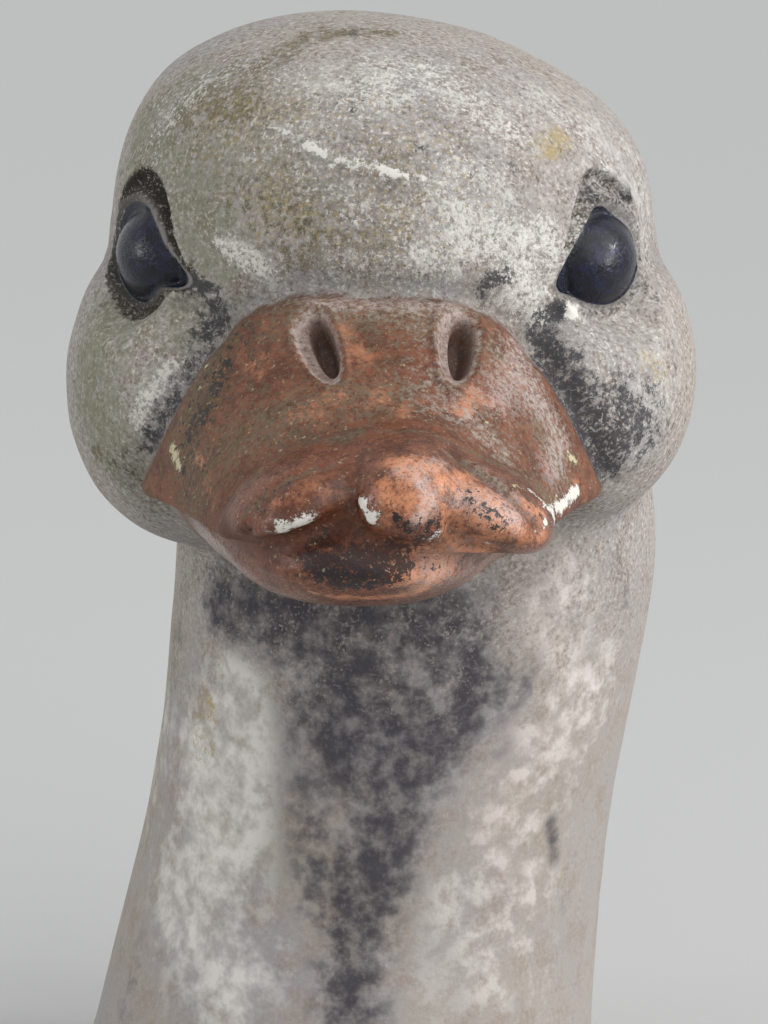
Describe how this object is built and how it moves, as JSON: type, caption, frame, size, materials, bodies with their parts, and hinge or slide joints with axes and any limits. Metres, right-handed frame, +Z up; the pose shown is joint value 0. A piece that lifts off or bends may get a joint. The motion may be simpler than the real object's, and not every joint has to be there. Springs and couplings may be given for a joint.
{
  "type": "garden goose statue bust",
  "caption": "Bust of a garden goose in weathered, painted cast stone: head with bulging eyes, brown bill with a lobed tip, and neck cut flat below to stand by its own weight.",
  "frame": {"origin": "middle of the flat underside of the neck", "axes": "+Z up, the goose looks along -Y, and its left side is +X"},
  "size_m": [0.1005, 0.135, 0.1826],
  "materials": {
    "cast_stone": "matt weathered cast stone with chalky white and grey remains of paint, lichen and dark rain marks; terracotta-brown paint on the bill, worn glossy at its tip; glossy blue-black paint on the eyes"
  },
  "bodies": {
    "root": {"goose_bust": "cast_stone"}
  },
  "joints": []
}
